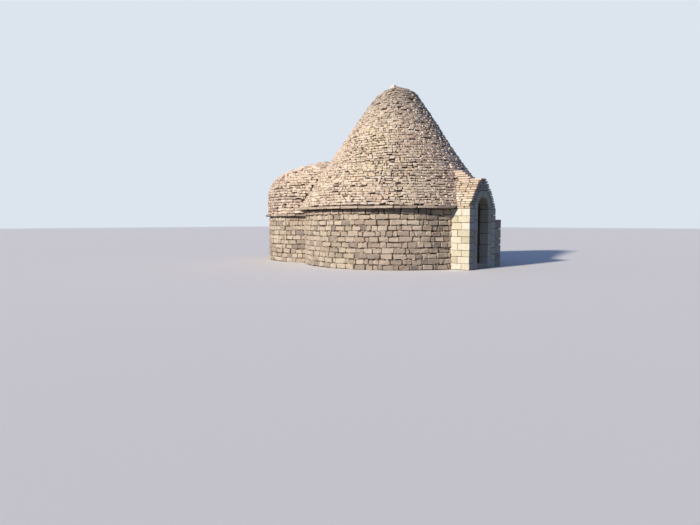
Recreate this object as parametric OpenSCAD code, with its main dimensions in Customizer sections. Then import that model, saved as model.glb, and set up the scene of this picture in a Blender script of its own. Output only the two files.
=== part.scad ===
// Round dry-stone house: a stepped conical stone roof over one round room,
// a gabled entrance porch with an arched doorway, and a low domed alcove behind.
// Millimetres, Z up. The entrance faces -Y and the origin is on the ground under the cone's apex.

/* [Round room] */
// Radius of the room, inside the wall
room_r = 2100; // [1900:50:2300]
// Thickness of the round wall
wall_t = 1150; // [1000:50:1300]
// Height of the round wall up to the eaves slabs
wall_h = 1850; // [1800:10:1900]
// Thickness of the stone floors, from the ground up
floor_t = 120; // [80:10:160]
// Gap between curved faces that meet
bed_gap = 0.5; // [0.3:0.1:0.8]
// Number of courses in the round wall
wall_courses = 11; // [9:1:12]
// Number of courses in the alcove's wall
alcove_wall_courses = 10; // [8:1:11]
// How far every second course of a round wall stands back from its face
course_set = 15; // [5:1:25]
// Height of the open joints between the courses of a round wall
bed_joint_h = 12; // [8:1:16]
// Depth of the open joints between the courses of a round wall
bed_joint_d = 45; // [30:5:60]

/* [Conical roof] */
// Thickness of the eaves slabs
eaves_t = 100; // [60:10:140]
// How far the eaves slabs stand out past the round wall
eaves_out = 220; // [140:10:260]
// How far the eaves slabs are built in behind the wall's face
eaves_built_in = 300; // [200:20:400]
// How far the cone's lowest course stands back from the edge of the eaves slabs
cone_inset = 30; // [10:5:80]
// Radius of the cone's highest course
cone_top_r = 715; // [640:5:780]
// Height of the cone, from its lowest to its highest course
cone_h = 4050; // [3900:50:4200]
// How far the cone's side bows from a straight line, less than 0 where it is hollow
cone_bow = -60; // [-100:5:40]
// Number of courses of roof slabs on the cone
cone_courses = 48; // [42:3:54]

/* [Vault under the cone] */
// Height of the vault, from the top of the wall to its closing slab
vault_h = 3150; // [2900:50:3300]
// Thickness of the corbelled vault stones
vault_t = 300; // [220:10:360]
// Radius of the hole that the closing slab covers
vault_top_r = 250; // [180:10:300]
// How far the vault's side bows outward from a straight line
vault_bow = 150; // [60:5:200]
// Number of corbelled courses in the vault
vault_courses = 21; // [18:3:24]
// Thickness of the closing slab
closing_t = 100; // [60:10:140]

/* [Summit] */
// Thickness of the flat slabs on the cone's top
summit_t = 70; // [50:5:90]
// Tilt of the upper flat slab, in degrees
summit_tilt = 7; // [3:0.5:10]
// Radius of the small cap stone
cap_r = 95; // [70:5:120]
// Height of the small cap stone above the flat slabs
cap_h = 100; // [70:5:120]
// How far the cap stone stands to the left of the cone's axis
cap_left = 50; // [0:5:90]
// How far the cap stone stands behind the cone's axis
cap_back = 75; // [0:5:90]

/* [Porch] */
// Offset of the porch from the middle of the house
porch_x = -360; // [-420:10:-280]
// Width of the porch's front
porch_w = 1800; // [1750:10:1880]
// How far the porch's front stands out from the round wall
porch_out = 330; // [280:10:400]
// Height of one course of the porch's roof
porch_course_h = 73; // [66:1:78]
// Number of courses in the porch's roof
porch_courses = 12; // [11:1:12]
// Height from the porch's side walls to the point where its curved slopes would meet
gable_h = 1100; // [1060:10:1200]
// Bulge of the gable's slopes, 1 is straight
gable_bulge = 1.35; // [1.2:0.05:1.6]
// Width of the lowest ridge slab
ridge_w = 360; // [320:10:420]
// How much narrower each ridge slab is than the one under it
ridge_narrowing = 30; // [20:5:40]
// Thickness of a ridge slab
ridge_t = 72; // [60:2:84]
// Number of ridge slabs
ridge_slabs = 5; // [4:1:6]
// How far behind the porch's front the second ridge slab starts
ridge_first = 380; // [320:10:440]
// How much further back each later ridge slab starts than the one under it
ridge_step = 100; // [80:5:120]
// Depth of the porch's front wall and of its door arch
front_t = 300; // [260:10:340]

/* [Doorway] */
// Width of the doorway between its stone jambs
door_w = 720; // [660:10:760]
// How far above the round wall's top the door arch starts to curve
spring_up = 10; // [5:5:40]
// Width of the arch stones and of the jamb stones
arch_t = 200; // [160:10:220]
// Number of arch stones
arch_stones = 9; // [7:2:11]
// Width of the joints between arch stones
joint_w = 8; // [4:1:12]
// Depth of the joints between arch stones
joint_d = 15; // [8:1:25]
// Width of the passage behind the doorway
passage_w = 940; // [900:10:980]
// Thickness of the barrel vault over the passage
passage_vault_t = 200; // [160:10:220]
// How far the threshold stone stands above the floor
sill_up = 30; // [20:5:40]
// Width of the low buttress beside the front
buttress_w = 420; // [320:10:480]
// Depth of the low buttress
buttress_d = 450; // [350:10:500]
// Height of the low buttress
buttress_h = 1530; // [1300:10:1600]

/* [Alcove] */
// Offset of the alcove from the middle of the house
alcove_x = -100; // [-150:10:0]
// How far the alcove's centre lies outside the round wall
alcove_out = 20; // [0:5:100]
// Radius of the alcove inside its wall
alcove_r = 1500; // [1400:20:1600]
// Thickness of the alcove's wall
alcove_wall_t = 750; // [650:10:850]
// Height of the alcove's wall
alcove_wall_h = 1650; // [1600:10:1700]
// Thickness of the alcove's eaves slabs
alcove_eaves_t = 100; // [80:5:120]
// How far the alcove's eaves slabs stand out
alcove_eaves_out = 150; // [100:10:200]
// Radius of the alcove dome's lowest course
alcove_dome_r = 2280; // [2220:10:2330]
// Height of the alcove dome above its eaves
alcove_dome_h = 2040; // [1950:10:2100]
// Roundness of the alcove dome, 1 is a straight cone
alcove_dome_bulge = 4.4; // [3.8:0.1:4.8]
// Number of courses on the alcove's dome
alcove_courses = 20; // [18:1:22]
// Height of the alcove's vault inside
alcove_vault_h = 1350; // [1200:25:1450]
// Number of corbelled courses in the alcove's vault
alcove_vault_courses = 9; // [8:1:10]
// Thickness of the stones of the alcove's vault
alcove_vault_t = 220; // [180:10:260]
// Width of the archway between the room and the alcove
archway_w = 1100; // [1000:20:1200]
// Height at which the archway starts to curve
archway_spring_z = 1350; // [1250:10:1400]
// Thickness of the archway's stones
archway_t = 200; // [160:10:220]

/* [Door] */
// Width of one side of the wooden frame
frame_w = 120; // [100:5:125]
// Depth of the wooden frame
frame_t = 80; // [70:5:100]
// Width of the stop that the leaf closes against
stop_w = 15; // [10:1:20]
// Thickness of the door leaf
leaf_t = 45; // [35:1:55]
// Gap round the door leaf
leaf_gap = 5; // [5:0.5:8]
// How far below the curve of the arch the leaf's space ends
leaf_down = 15; // [10:5:60]
// Height of the board that closes the frame above the leaf
head_h = 70; // [50:5:90]
// Thickness of the boards in the arch over the door
tympanum_t = 40; // [30:1:50]
// Width of the ledges across the leaf's back
ledge_w = 110; // [90:5:130]
// Thickness of the ledges across the leaf's back
ledge_t = 25; // [20:1:30]
// How far the ledges stop short of the leaf's edges
ledge_in = 45; // [30:5:60]
// Height of the lower strap hinge, as a share of the leaf's height
hinge_share = 0.17; // [0.12:0.01:0.2]
// Length of the strap hinges
strap_l = 470; // [350:10:560]
// Width of the strap hinges
strap_w = 40; // [30:1:50]
// Thickness of the strap hinges
strap_t = 6; // [4:0.5:8]
// Radius of the hinge pins
pin_r = 8; // [6:0.5:10]
// Thickness of the hinge eye's wall
eye_t = 7; // [5:0.5:9]
// Radial play of the hinge eye on its pin
pin_play = 0.1; // [0.05:0.01:0.1]
// Gap between a hinge eye and the shoulder that carries it
seat_gap = 0.3; // [0.1:0.05:0.4]
// Height of the shoulder that carries a hinge eye
shoulder_h = 24; // [16:1:30]
// How far a hinge pin stands up past its eye
pin_above = 10; // [4:1:16]
// Length of the plate that holds a hinge pin, past the shoulder
plate_l = 60; // [40:5:70]
// Thickness of the plate that holds a hinge pin
plate_t = 6; // [4:0.5:8]
// How far the plate that holds a hinge pin hangs below the shoulder
plate_down = 20; // [10:1:30]
// Radius of the pull ring
ring_r = 45; // [35:1:55]
// Radius of the pull ring's bar
ring_bar_r = 6; // [4:0.5:8]
// Distance of the pull ring from the leaf's free edge
ring_in = 110; // [80:5:140]
// Height of the pull ring's staple, as a share of the leaf's height
ring_share = 0.52; // [0.48:0.01:0.58]
// How far the staple stands out from the leaf
staple_out = 24; // [20:1:30]
// Width of the staple
staple_w = 24; // [16:1:30]
// Height of the staple
staple_h = 20; // [14:1:26]

/* [Hidden] */
$fn = 360;

stone = [0.80, 0.74, 0.64];
roof_stone = [0.74, 0.67, 0.58];
inner_stone = [0.70, 0.66, 0.60];
oak = [0.40, 0.33, 0.27];
iron = [0.22, 0.21, 0.20];

over = 10;
far = 9000;
drum_r = room_r + wall_t;
eaves_r = drum_r + eaves_out;
eaves_in_r = drum_r - eaves_built_in;
cone_base_r = eaves_r - cone_inset;
cone_z = wall_h + eaves_t;
cone_top_z = cone_z + cone_h;
course_h = cone_h / cone_courses;
band_courses = round(cone_courses / 3);
porch_eaves_z = wall_h;
spring_z = wall_h + spring_up;
leaf_top_z = spring_z - leaf_down;
vault_top_z = wall_h + vault_h;
vault_course_h = vault_h / vault_courses;
vault_third = round(vault_courses / 3);
summit_r = cone_top_r * 0.86;
front_y = -(drum_r + porch_out);
front_back_y = front_y + front_t;
passage_r = passage_w / 2;
arch_r = door_w / 2;
ridge_z = porch_eaves_z + porch_courses * porch_course_h;
alcove_y = drum_r + alcove_out;
alcove_split = alcove_r * 0.65;
alcove_out_r = alcove_r + alcove_wall_t;
alcove_eaves_r = alcove_out_r + alcove_eaves_out;
alcove_dome_z = alcove_wall_h + alcove_eaves_t;
alcove_course_h = alcove_dome_h / alcove_courses;
archway_r = archway_w / 2;
frame_back_y = front_back_y + frame_t;
leaf_w = passage_w - 2 * frame_w - 2 * leaf_gap;
leaf_y = frame_back_y - leaf_t;
leaf_z = floor_t + sill_up + leaf_gap * 2;
leaf_h = leaf_top_z - leaf_gap - leaf_z;
axis_x = porch_x - passage_w / 2 + frame_w - leaf_gap / 2;
axis_y = frame_back_y + ledge_t + strap_t / 2;
eye_r = pin_r + eye_t;
strap_zs = [leaf_z + leaf_h * hinge_share, leaf_z + leaf_h * (1 - hinge_share)];
ledge_zs = [strap_zs[0], leaf_z + leaf_h / 2, strap_zs[1]];

// A share of the way from a to b, bowed outward by bow in the middle
function bowed(a, b, bow, t) = a + (b - a) * t + 4 * bow * t * (1 - t);
function cone_r(i) = bowed(cone_base_r, cone_top_r, cone_bow, (i + 0.5) / cone_courses);
function vault_r(z) = bowed(room_r, vault_top_r, vault_bow, (z - wall_h) / vault_h);
function vault_out(z) = vault_r(z) + vault_t;
function gable_half(z) = porch_w / 2 * (1 - pow(max(0, z - porch_eaves_z) / gable_h, gable_bulge));
function dome_r(i) = alcove_dome_r * (1 - pow((i + 0.3) / alcove_courses, alcove_dome_bulge));

// Outline of courses i0 to i1 of the cone, from its axis out
module cone_outline(i0, i1)
    polygon(concat(
        [[0, cone_z + i0 * course_h]],
        [for (i = [i0 : i1 - 1], up = [0, 1]) [cone_r(i), cone_z + (i + up) * course_h]],
        [[0, cone_z + i1 * course_h]]
    ));

// Outline of the cone's foot, which fills in behind the eaves slabs
module cone_foot_outline()
    translate([0, wall_h]) square([eaves_in_r, eaves_t + 1]);

// Outline of everything inside the vault's outer face
module vault_body_outline() {
    step = vault_h / 6;
    polygon(concat(
        [[0, wall_h - over]],
        [[vault_out(wall_h), wall_h - over]],
        [for (k = [0 : 6]) [vault_out(wall_h + k * step), wall_h + k * step]],
        [[vault_top_r + vault_t, vault_top_z + closing_t], [0, vault_top_z + closing_t]]
    ));
}

// Outline of the room under the vault, one step for each corbelled course
module vault_space_outline(j0, j1)
    polygon(concat(
        [[0, wall_h + j0 * vault_course_h]],
        [for (j = [j0 : j1 - 1], up = [0, 1])
            [vault_r(wall_h + (j + 0.5) * vault_course_h), wall_h + (j + up) * vault_course_h]],
        [[0, wall_h + j1 * vault_course_h]]
    ));

// Outline of the alcove's dome, one step for each course
module dome_outline()
    polygon(concat(
        [[0, alcove_dome_z]],
        [for (i = [0 : alcove_courses - 1], up = [0, 1]) [dome_r(i), alcove_dome_z + (i + up) * alcove_course_h]],
        [[0, alcove_dome_z + alcove_dome_h]]
    ));

// Outline of the alcove's vault on its room side, stepped at each course
module alcove_space_outline() {
    step_h = alcove_vault_h / alcove_vault_courses;
    polygon(concat(
        [[0, alcove_wall_h]],
        [for (i = [0 : alcove_vault_courses - 1], up = [0, 1])
            [alcove_r * sqrt(1 - pow((i + 0.5) / (alcove_vault_courses + 0.5), 2)),
             alcove_wall_h + (i + up) * step_h]],
        [[0, alcove_wall_h + alcove_vault_h]]
    ));
}

// Outline of a coursed wall, with open joints between its courses and every second course set back
module coursed_outline(r_in, r_out, h, courses) {
    step = h / courses;
    difference() {
        translate([r_in, 0]) square([r_out - r_in, h]);
        for (k = [1 : courses - 1]) {
            translate([r_out - bed_joint_d, k * step - bed_joint_h / 2]) square([bed_joint_d + over, bed_joint_h]);
            if (k % 2 == 1) translate([r_out - course_set, k * step]) square([course_set + over, step]);
        }
    }
}

// A ring between two radii
module ring(r_in, r_out, z, h)
    rotate_extrude() translate([r_in, z]) square([r_out - r_in, h]);

// The space on one side of x, side is -1 or 1, from y0 to y1
module side_space(side, x, y0, y1)
    translate([side < 0 ? x - far : x, y0, -far]) cube([far, y1 - y0, 3 * far]);

// The space that the round wall takes up, with a gap round it
module drum_space()
    translate([0, 0, -over]) cylinder(r = drum_r + bed_gap, h = wall_h + over);

// Everything that the round wall and the cone's lower courses take up
module house_mass(courses) {
    drum_space();
    rotate_extrude() {
        cone_foot_outline();
        cone_outline(0, courses);
    }
}

// A tunnel with a half-round top, running along Y from y0 to y1
module tunnel(x, r, z0, z, y0, y1) {
    translate([x, y1, 0]) rotate([90, 0, 0]) linear_extrude(y1 - y0) {
        translate([0, z]) intersection() {
            circle(r = r);
            translate([-r, 0]) square([2 * r, r]);
        }
        translate([-r, z0]) square([2 * r, z - z0]);
    }
}

module passage_space() tunnel(porch_x, passage_r, -over, spring_z, -far, 0);
module passage_vault_mass()
    tunnel(porch_x, passage_r + passage_vault_t, wall_h, spring_z, -far, 0);
module archway_space() tunnel(alcove_x, archway_r, -over, archway_spring_z, 0, alcove_y);
module archway_mass() tunnel(alcove_x, archway_r + archway_t, -over, archway_spring_z, 0, alcove_y);

// One quarter of the space round the house, parted over the doorway and over the alcove's archway
module quarter_space(side, front) {
    if (front < 0) side_space(side, porch_x, -far, 0);
    if (front > 0) side_space(side, alcove_x, 0, far);
}

module wall_quarter(side, front)
    color(stone) difference() {
        intersection() {
            rotate_extrude() coursed_outline(room_r, drum_r, wall_h, wall_courses);
            quarter_space(side, front);
        }
        if (front < 0) passage_space();
        if (front > 0) archway_mass();
    }

module wall_front_left() wall_quarter(-1, -1);
module wall_front_right() wall_quarter(1, -1);
module wall_back_left() wall_quarter(-1, 1);
module wall_back_right() wall_quarter(1, 1);

module floor_room() color(inner_stone) cylinder(r = room_r - bed_gap, h = floor_t);

// The alcove's floor, with the strip that runs through the archway
module floor_alcove()
    color(inner_stone) {
        difference() {
            translate([alcove_x, alcove_y, 0]) cylinder(r = alcove_r - bed_gap, h = floor_t);
            drum_space();
        }
        difference() {
            translate([alcove_x - archway_r, 0, 0]) cube([archway_w, alcove_y, floor_t]);
            cylinder(r = room_r, h = 3 * floor_t, center = true);
        }
    }

// The passage's floor, with the raised sill under the door
module threshold()
    color(stone) difference() {
        union() {
            translate([porch_x - passage_r, front_back_y, 0]) cube([passage_w, -front_back_y, floor_t]);
            translate([porch_x - arch_r, front_y, 0]) cube([door_w, front_t, floor_t + sill_up]);
            translate([porch_x - passage_r, front_back_y, 0])
                cube([passage_w, frame_t, floor_t + sill_up]);
        }
        cylinder(r = room_r, h = 6 * floor_t, center = true);
    }

module eaves_ring()
    color(stone) difference() {
        ring(eaves_in_r, eaves_r, wall_h, eaves_t);
        translate([porch_x - porch_w / 2, -far, wall_h - over]) cube([porch_w, far, eaves_t + 2 * over]);
        translate([alcove_x, alcove_y, 0]) rotate_extrude() dome_outline();
    }

module cone_band(i0, i1)
    rotate_extrude() difference() {
        union() {
            cone_outline(i0, i1);
            if (i0 == 0) cone_foot_outline();
        }
        vault_body_outline();
    }

// One quarter of the cone's lowest band, side and front are -1 or 1
module cone_quarter(side, front)
    color(roof_stone) difference() {
        intersection() {
            cone_band(0, band_courses);
            quarter_space(side, front);
        }
        if (front < 0) passage_vault_mass();
        if (front > 0) {
            archway_mass();
            alcove_vault_mass();
        }
    }

module cone_front_left() cone_quarter(-1, -1);
module cone_front_right() cone_quarter(1, -1);
module cone_back_left() cone_quarter(-1, 1);
module cone_back_right() cone_quarter(1, 1);
module cone_middle() color(roof_stone) cone_band(band_courses, 2 * band_courses);
module cone_upper() color(roof_stone) cone_band(2 * band_courses, cone_courses);

// Rough flat slabs that close the cone, the upper one tilted
module summit_slabs()
    color(stone) {
        translate([0, 0, cone_top_z]) cylinder(r = summit_r, h = summit_t);
        translate([-summit_r * 0.1, 0, cone_top_z + summit_t * 0.75]) rotate([0, summit_tilt, 35])
            translate([-summit_r * 0.55, -summit_r * 0.45, 0])
                cube([summit_r * 1.1, summit_r * 0.9, summit_t]);
    }

module cap_stone()
    color(stone) difference() {
        translate([-cap_left, cap_back, cone_top_z + summit_t]) cylinder(r = cap_r, h = summit_t + cap_h);
        summit_slabs();
    }

module vault_band(j0, j1)
    rotate_extrude() intersection() {
        difference() {
            vault_body_outline();
            vault_space_outline(0, vault_courses);
        }
        translate([0, wall_h + j0 * vault_course_h]) square([far, (j1 - j0) * vault_course_h]);
    }

module vault_lower()
    color(inner_stone) difference() {
        vault_band(0, vault_third);
        passage_vault_mass();
        archway_mass();
    }
module vault_middle() color(inner_stone) vault_band(vault_third, 2 * vault_third);
module vault_upper() color(inner_stone) vault_band(2 * vault_third, vault_courses);
module vault_closing_slab()
    color(inner_stone) translate([0, 0, vault_top_z]) cylinder(r = vault_top_r + vault_t, h = closing_t);

module porch_pier(side)
    color(stone) difference() {
        translate([side < 0 ? porch_x - porch_w / 2 : porch_x + passage_r, front_y, 0])
            cube([porch_w / 2 - passage_r, -front_y, porch_eaves_z]);
        house_mass(2);
        translate([porch_x - arch_r - arch_t, front_y - over, -over])
            cube([2 * (arch_r + arch_t), front_t + over, porch_eaves_z + 2 * over]);
        passage_vault_mass();
    }

module porch_pier_left() porch_pier(-1);
module porch_pier_right() porch_pier(1);

module door_jamb_stones()
    color(stone) for (side = [-1, 1])
        translate([porch_x + side * (arch_r + arch_t / 2) - arch_t / 2, front_y, 0])
            cube([arch_t, front_t, spring_z]);

// A half ring of arch stones, with the joints between them cut into its face
module door_arch()
    color(stone) difference() {
        tunnel(porch_x, arch_r + arch_t, spring_z - 1, spring_z, front_y, front_back_y);
        tunnel(porch_x, arch_r, spring_z - over, spring_z, front_y - over, front_back_y + over);
        translate([porch_x - far, front_y - over, spring_z - over]) cube([2 * far, front_t + 2 * over, over]);
        for (k = [1 : arch_stones - 1])
            translate([porch_x, front_y, spring_z]) rotate([0, -k * 180 / arch_stones, 0])
                translate([0, -over, -joint_w / 2]) cube([far, joint_d + over, joint_w]);
    }

// Stepped outline of the porch's gable
module gable_outline()
    for (k = [0 : porch_courses - 1]) {
        z = porch_eaves_z + k * porch_course_h;
        half = gable_half(z);
        translate([-half, z]) square([2 * half, porch_course_h + (k < porch_courses - 1 ? 1 : 0)]);
    }

module gable_block(y0, y1)
    translate([porch_x, y1, 0]) rotate([90, 0, 0]) linear_extrude(y1 - y0) gable_outline();

module porch_gable()
    color(stone) difference() {
        gable_block(front_y, front_back_y);
        tunnel(porch_x, arch_r + arch_t, porch_eaves_z - over, spring_z, front_y - over, front_back_y + over);
        house_mass(band_courses);
    }

module porch_roof(side)
    color(roof_stone) difference() {
        intersection() {
            gable_block(front_back_y, 0);
            translate([side < 0 ? porch_x - far : porch_x, -far, 0]) cube([far, far, far]);
        }
        house_mass(band_courses);
        passage_vault_mass();
    }

module porch_roof_left() porch_roof(-1);
module porch_roof_right() porch_roof(1);

// Long ridge slabs that step up from the porch's front to the cone
module porch_ridge()
    color(roof_stone) difference() {
        for (k = [0 : ridge_slabs - 1]) {
            slab_w = ridge_w - k * ridge_narrowing;
            slab_y = front_y + (k > 0 ? ridge_first + (k - 1) * ridge_step : 0);
            translate([porch_x - slab_w / 2, slab_y, ridge_z]) cube([slab_w, -slab_y, (k + 1) * ridge_t]);
        }
        house_mass(band_courses);
    }

// Barrel vault over the passage, from the door arch to the room
module passage_vault()
    color(inner_stone) difference() {
        tunnel(porch_x, passage_r + passage_vault_t, wall_h, spring_z, front_back_y, 0);
        tunnel(porch_x, passage_r, -over, spring_z, front_y, over);
        vault_inside();
    }

// The room's free space up to the lowest vault courses
module vault_inside() {
    cylinder(r = room_r, h = wall_h);
    rotate_extrude() vault_space_outline(0, vault_third);
}

module corner_buttress()
    color(stone) difference() {
        translate([porch_x + porch_w / 2, front_y, 0]) cube([buttress_w, buttress_d, buttress_h]);
        drum_space();
    }

// The alcove's wall, cut off at the round wall
module alcove_wall_ring()
    difference() {
        translate([alcove_x, alcove_y, 0]) rotate_extrude()
            coursed_outline(alcove_r, alcove_out_r, alcove_wall_h, alcove_wall_courses);
        drum_space();
    }

// The left or right piece of the alcove's wall
module alcove_wall_side(side)
    color(stone) intersection() {
        alcove_wall_ring();
        side_space(side, alcove_x + side * alcove_split, 0, far);
    }

module alcove_wall_left() alcove_wall_side(-1);
module alcove_wall_right() alcove_wall_side(1);

module alcove_wall_back()
    color(stone) intersection() {
        alcove_wall_ring();
        translate([alcove_x - alcove_split, alcove_y, 0]) cube([2 * alcove_split, far, far]);
    }

module alcove_eaves()
    color(stone) difference() {
        translate([alcove_x, alcove_y, 0])
            ring(alcove_r + alcove_vault_t, alcove_eaves_r, alcove_wall_h, alcove_eaves_t);
        drum_space();
    }

// Everything inside the outer face of the alcove's vault
module alcove_vault_mass()
    difference() {
        translate([alcove_x, alcove_y, 0]) rotate_extrude() alcove_vault_outer_outline();
        cylinder(r = drum_r, h = far);
    }

module alcove_vault_outer_outline()
    polygon([
        [0, alcove_wall_h],
        [alcove_r + alcove_vault_t, alcove_wall_h],
        [alcove_r + alcove_vault_t, alcove_wall_h + alcove_vault_h * 0.33],
        [alcove_r * 0.82 + alcove_vault_t, alcove_wall_h + alcove_vault_h * 0.66],
        [alcove_r * 0.5 + alcove_vault_t, alcove_wall_h + alcove_vault_h + 40],
        [0, alcove_wall_h + alcove_vault_h + alcove_vault_t]
    ]);

// One half of the alcove's vault, side is -1 or 1
module alcove_vault_half(side)
    color(inner_stone) difference() {
        translate([alcove_x, alcove_y, 0]) rotate([0, 0, -side * 90]) rotate_extrude(angle = 180)
            difference() {
                alcove_vault_outer_outline();
                alcove_space_outline();
            }
        cylinder(r = drum_r + bed_gap, h = far);
    }

module alcove_vault_left() alcove_vault_half(-1);
module alcove_vault_right() alcove_vault_half(1);

module alcove_dome()
    color(roof_stone) difference() {
        translate([alcove_x, alcove_y, 0]) rotate_extrude() dome_outline();
        alcove_vault_mass();
        house_mass(band_courses + 5);
        archway_mass();
    }

// Arched way from the room to the alcove, through the round wall
module alcove_archway()
    color(inner_stone) difference() {
        tunnel(alcove_x, archway_r + archway_t, 0, archway_spring_z, 0, alcove_y);
        archway_space();
        vault_inside();
        difference() {
            cylinder(r = 2 * far, h = 3 * wall_h, center = true);
            cylinder(r = drum_r, h = 4 * wall_h, center = true);
        }
    }

module door_frame() {
    frame_z = floor_t + sill_up;
    color(oak) difference() {
        translate([porch_x - passage_r, front_back_y, frame_z])
            cube([passage_w, frame_t, leaf_top_z + head_h - frame_z]);
        translate([porch_x - leaf_w / 2 - leaf_gap, leaf_y - leaf_gap, frame_z - over])
            cube([leaf_w + 2 * leaf_gap, far, leaf_top_z - frame_z + over]);
        translate([porch_x - leaf_w / 2 - leaf_gap + stop_w, front_y, frame_z - over])
            cube([leaf_w + 2 * leaf_gap - 2 * stop_w, far, leaf_top_z - stop_w - frame_z + over]);
        difference() {
            translate([porch_x - far, -far, spring_z]) cube([2 * far, far, far]);
            translate([porch_x, 0, spring_z]) rotate([90, 0, 0]) cylinder(r = passage_r, h = far);
        }
    }
}

// Boards that close the arch above the frame's head
module door_tympanum()
    color(oak) difference() {
        translate([porch_x, front_back_y + tympanum_t, spring_z]) rotate([90, 0, 0])
            cylinder(r = passage_r, h = tympanum_t);
        translate([porch_x - far, -far, -over]) cube([2 * far, 2 * far, leaf_top_z + head_h + over]);
    }

module door_leaf()
    color(oak) translate([porch_x - leaf_w / 2, leaf_y, leaf_z]) cube([leaf_w, leaf_t, leaf_h]);

module door_ledges()
    color(oak) for (z = ledge_zs)
        translate([porch_x - leaf_w / 2 + ledge_in, frame_back_y, z - ledge_w / 2])
            cube([leaf_w - 2 * ledge_in, ledge_t, ledge_w]);

module hinge_straps()
    color(iron) for (z = strap_zs)
        translate([axis_x, axis_y, z - strap_w / 2]) difference() {
            union() {
                cylinder(r = eye_r, h = strap_w);
                translate([0, -strap_t / 2, 0]) cube([strap_l, strap_t, strap_w]);
            }
            translate([0, 0, -over]) cylinder(r = pin_r + pin_play, h = strap_w + 2 * over);
        }

// Pins on plates that are driven into the frame, one under each hinge eye
module hinge_pintles() {
    back = frame_back_y - axis_y;
    color(iron) for (z = strap_zs)
        translate([axis_x, axis_y, z - strap_w / 2 - seat_gap - shoulder_h]) {
            cylinder(r = pin_r, h = shoulder_h + seat_gap + strap_w + pin_above);
            cylinder(r = eye_r, h = shoulder_h);
            translate([-eye_r * 2, back, 0]) cube([eye_r * 2, -back, shoulder_h]);
            translate([-eye_r * 2 - plate_l, back, -plate_down])
                cube([plate_l + eye_r, plate_t, shoulder_h + plate_down]);
        }
}

// A ring hanging from a staple on the leaf's outer face
module pull_ring() {
    ring_x = porch_x + leaf_w / 2 - ring_in;
    ring_z = leaf_z + leaf_h * ring_share;
    color(iron) {
        translate([ring_x - staple_w / 2, leaf_y - staple_out, ring_z - staple_h / 2])
            cube([staple_w, staple_out, staple_h]);
        translate([ring_x, leaf_y - staple_out + ring_bar_r + 2, ring_z - ring_r]) rotate([90, 0, 0])
            rotate_extrude() translate([ring_r, 0]) circle(r = ring_bar_r);
    }
}

floor_room();
floor_alcove();
threshold();
wall_front_left();
wall_front_right();
wall_back_left();
wall_back_right();
eaves_ring();
cone_front_left();
cone_front_right();
cone_back_left();
cone_back_right();
cone_middle();
cone_upper();
summit_slabs();
cap_stone();
vault_lower();
vault_middle();
vault_upper();
vault_closing_slab();
porch_pier_left();
porch_pier_right();
door_jamb_stones();
door_arch();
passage_vault();
porch_gable();
porch_roof_left();
porch_roof_right();
porch_ridge();
corner_buttress();
alcove_wall_left();
alcove_wall_back();
alcove_wall_right();
alcove_eaves();
alcove_dome();
alcove_vault_left();
alcove_vault_right();
alcove_archway();
door_frame();
door_tympanum();
door_leaf();
door_ledges();
hinge_straps();
hinge_pintles();
pull_ring();
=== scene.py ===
import math
import random

import bmesh
import bpy
from mathutils import Matrix, Vector


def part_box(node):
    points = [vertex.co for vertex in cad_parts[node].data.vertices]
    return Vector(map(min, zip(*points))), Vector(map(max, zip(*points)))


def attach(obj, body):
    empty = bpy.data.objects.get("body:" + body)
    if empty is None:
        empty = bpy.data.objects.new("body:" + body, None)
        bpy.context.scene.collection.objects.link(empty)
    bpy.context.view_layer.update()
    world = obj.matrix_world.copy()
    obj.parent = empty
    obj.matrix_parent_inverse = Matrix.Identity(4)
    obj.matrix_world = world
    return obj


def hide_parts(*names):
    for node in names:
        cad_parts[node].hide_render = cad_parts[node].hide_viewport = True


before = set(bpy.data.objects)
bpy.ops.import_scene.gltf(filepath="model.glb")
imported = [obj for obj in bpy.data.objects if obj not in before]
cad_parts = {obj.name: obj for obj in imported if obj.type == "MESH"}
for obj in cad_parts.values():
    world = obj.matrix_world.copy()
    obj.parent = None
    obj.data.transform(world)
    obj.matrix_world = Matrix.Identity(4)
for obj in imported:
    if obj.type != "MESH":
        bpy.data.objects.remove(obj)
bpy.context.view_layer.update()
print("frame loaded:", len(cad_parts), "nodes")

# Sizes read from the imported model, in metres
wallLow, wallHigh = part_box("wall_front_left")
wallRadius = -wallLow.x
wallTop = wallHigh.z
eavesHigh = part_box("eaves_ring")[1]
eavesRadius = eavesHigh.x
coneFoot = eavesHigh.z
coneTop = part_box("cone_upper")[1].z
pierLow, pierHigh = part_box("porch_pier_left")
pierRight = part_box("porch_pier_right")[1].x
porchX = (pierLow.x + pierRight) / 2
porchHalf = (pierRight - pierLow.x) / 2
porchFront = pierLow.y
porchEaves = pierHigh.z
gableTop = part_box("porch_gable")[1].z
archLow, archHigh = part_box("door_arch")
archOuter = (archHigh.x - archLow.x) / 2
jambLow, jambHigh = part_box("door_jamb_stones")
springHeight = jambHigh.z
frontDepth = jambHigh.y - jambLow.y
alcoveLow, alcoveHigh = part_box("alcove_eaves")
alcoveEavesRadius = (alcoveHigh.x - alcoveLow.x) / 2
alcoveCentre = Vector(((alcoveHigh.x + alcoveLow.x) / 2, alcoveHigh.y - alcoveEavesRadius, 0))
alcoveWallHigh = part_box("alcove_wall_back")[1]
alcoveWallRadius = alcoveWallHigh.y - alcoveCentre.y
domeFoot = alcoveHigh.z
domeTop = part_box("alcove_dome")[1].z
buttressLow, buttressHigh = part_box("corner_buttress")
houseCentre = Vector((0, 0, 0))

# Forms of the roof, by the formulas of the part's source
cone = {"courses": 48, "baseRadius": 3.44, "topRadius": 0.715, "bow": -0.06}
dome = {"courses": 20, "baseRadius": 2.28, "bulge": 4.4}
gable = {"courses": 12, "height": 1.10, "bulge": 1.35}
coneCourse = (coneTop - coneFoot) / cone["courses"]
domeCourse = (domeTop - domeFoot) / dome["courses"]
gableCourse = (gableTop - porchEaves) / gable["courses"]


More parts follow.
